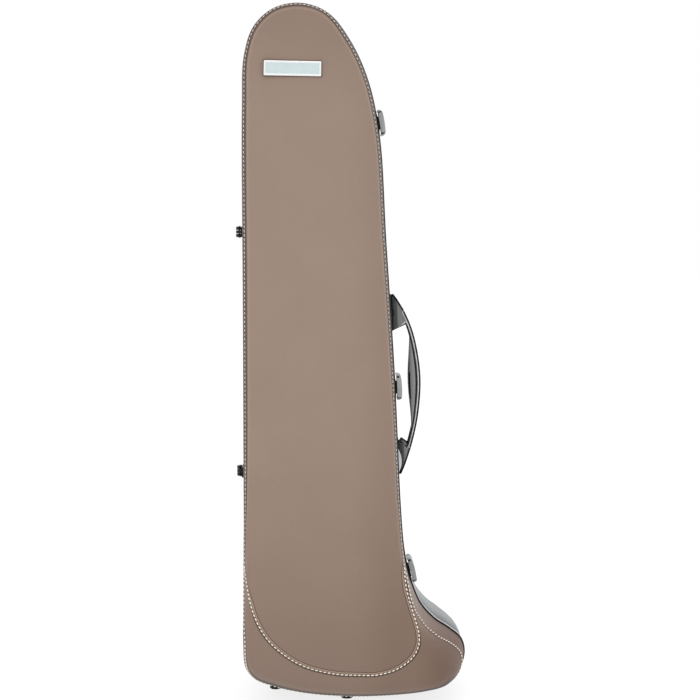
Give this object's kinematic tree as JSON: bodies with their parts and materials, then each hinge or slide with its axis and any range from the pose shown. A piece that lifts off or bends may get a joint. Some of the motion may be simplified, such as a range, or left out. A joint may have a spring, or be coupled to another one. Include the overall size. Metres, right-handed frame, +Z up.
{
  "type": "trombone case",
  "caption": "Hard upright case for a tenor trombone: two deep shells on side hinges, draw latches, carrying handle, fitted foam inside and rubber feet.",
  "frame": {"origin": "middle of the bounding box of the whole part, on the floor under the rubber feet", "axes": "+Z up along the case, from the bell end to the neck end; -Y is the lid side; -X is the hinge side, +X the latch side"},
  "size_m": [0.3158, 0.2726, 0.948],
  "materials": {
    "taupe_leather": "fine grain, satin",
    "grey_leather": "fine grain, satin",
    "handle_leather": "smooth, satin",
    "plush": "short pile over foam",
    "black_edge": "satin black",
    "black_rubber": "matte",
    "satin_metal": "satin nickel",
    "steel": "bright",
    "plate_metal": "bright, bare"
  },
  "bodies": {
    "base": {"base_shell": "grey_leather", "base_rim": "satin_metal", "rim_seal": "black_rubber", "base_lining": "plush", "bell_cradle": "plush", "bell_plug": "plush", "neck_cradle_lower": "plush", "neck_cradle_upper": "plush", "bow_rest": "plush", "mouthpiece_block": "plush", "accessory_box": "black_edge", "foot_left": "black_rubber", "foot_right": "black_rubber", "foot_rear": "black_rubber", "hinge_upper_fork": "black_edge", "hinge_upper_pin": "steel", "hinge_lower_fork": "black_edge", "hinge_lower_pin": "steel", "latch_upper_plate": "satin_metal", "latch_upper_pin": "steel", "latch_middle_plate": "satin_metal", "latch_middle_pin": "steel", "latch_lower_plate": "satin_metal", "latch_lower_pin": "steel", "handle_upper_bracket": "satin_metal", "handle_upper_pin": "steel", "handle_lower_bracket": "satin_metal", "handle_lower_pin": "steel"},
    "lid": {"lid_shell": "taupe_leather", "lid_rim": "black_edge", "lid_lining": "plush", "bell_pad": "plush", "name_plate": "plate_metal", "foot_front": "black_rubber", "slide_cradle_lower": "plush", "slide_cradle_upper": "plush", "slide_bow_rest": "plush", "hinge_upper_leaf": "black_edge", "hinge_lower_leaf": "black_edge", "latch_upper_keeper": "satin_metal", "latch_middle_keeper": "satin_metal", "latch_lower_keeper": "satin_metal", "slide_clip_upper_pin": "steel", "slide_clip_lower_pin": "steel"},
    "handle": {"handle_strap": "handle_leather", "handle_grip": "handle_leather"},
    "tray_lid": {"accessory_lid": "plush", "accessory_tab": "handle_leather"},
    "slide_clip_lower": {"slide_clip_lower": "black_edge"},
    "slide_clip_upper": {"slide_clip_upper": "black_edge"},
    "upper_latch_lever": {"latch_upper_lever": "satin_metal"},
    "upper_latch_hook": {"latch_upper_hook": "steel"},
    "middle_latch_lever": {"latch_middle_lever": "satin_metal"},
    "middle_latch_hook": {"latch_middle_hook": "steel"},
    "lower_latch_lever": {"latch_lower_lever": "satin_metal"},
    "lower_latch_hook": {"latch_lower_hook": "steel"}
  },
  "joints": [
    {"name": "lid_hinge", "type": "hinge", "parent": "base", "child": "lid", "pos_m": [-0.1537, -0.01552, 0.47465], "axis": [0, 0, -1], "range_deg": [0, 108]},
    {"name": "upper_latch_lever", "type": "hinge", "parent": "base", "child": "upper_latch_lever", "pos_m": [0.0402, 0.00148, 0.78745], "axis": [-0.1546, 0, 0.988], "range_deg": [0, 95]},
    {"name": "upper_latch_hook", "type": "hinge", "parent": "upper_latch_lever", "child": "upper_latch_hook", "pos_m": [0.0402, -0.01052, 0.78745], "axis": [-0.1546, 0, 0.988], "range_deg": [-82, 0]},
    {"name": "middle_latch_lever", "type": "hinge", "parent": "base", "child": "middle_latch_lever", "pos_m": [0.06472, 0.00148, 0.42665], "axis": [-0.0505, 0, 0.9987], "range_deg": [0, 95]},
    {"name": "middle_latch_hook", "type": "hinge", "parent": "middle_latch_lever", "child": "middle_latch_hook", "pos_m": [0.06472, -0.01052, 0.42665], "axis": [-0.0505, 0, 0.9987], "range_deg": [-82, 0]},
    {"name": "lower_latch_lever", "type": "hinge", "parent": "base", "child": "lower_latch_lever", "pos_m": [0.08315, 0.00148, 0.17269], "axis": [-0.2513, 0, 0.9679], "range_deg": [0, 95]},
    {"name": "lower_latch_hook", "type": "hinge", "parent": "lower_latch_lever", "child": "lower_latch_hook", "pos_m": [0.08315, -0.01052, 0.17269], "axis": [-0.2513, 0, 0.9679], "range_deg": [-82, 0]},
    {"name": "handle_swing", "type": "hinge", "parent": "base", "child": "handle", "pos_m": [0.06689, 0.03048, 0.42534], "axis": [-0.0501, 0, 0.9987], "range_deg": [-16, 40]},
    {"name": "tray_lid_hinge", "type": "hinge", "parent": "base", "child": "tray_lid", "pos_m": [-0.1211, 0.01518, 0.3], "axis": [0, 0, -1], "range_deg": [0, 85]},
    {"name": "slide_clip_lower_turn", "type": "hinge", "parent": "lid", "child": "slide_clip_lower", "pos_m": [-0.0471, -0.03352, 0.45948], "axis": [0, 1, 0], "range_deg": [0, 90]},
    {"name": "slide_clip_upper_turn", "type": "hinge", "parent": "lid", "child": "slide_clip_upper", "pos_m": [-0.0471, -0.03352, 0.72024], "axis": [0, 1, 0], "range_deg": [0, 90]}
  ],
  "couplings": [
    {"joint": "upper_latch_hook", "follows": "upper_latch_lever", "ratio": -0.85},
    {"joint": "middle_latch_hook", "follows": "middle_latch_lever", "ratio": -0.85},
    {"joint": "lower_latch_hook", "follows": "lower_latch_lever", "ratio": -0.85}
  ]
}
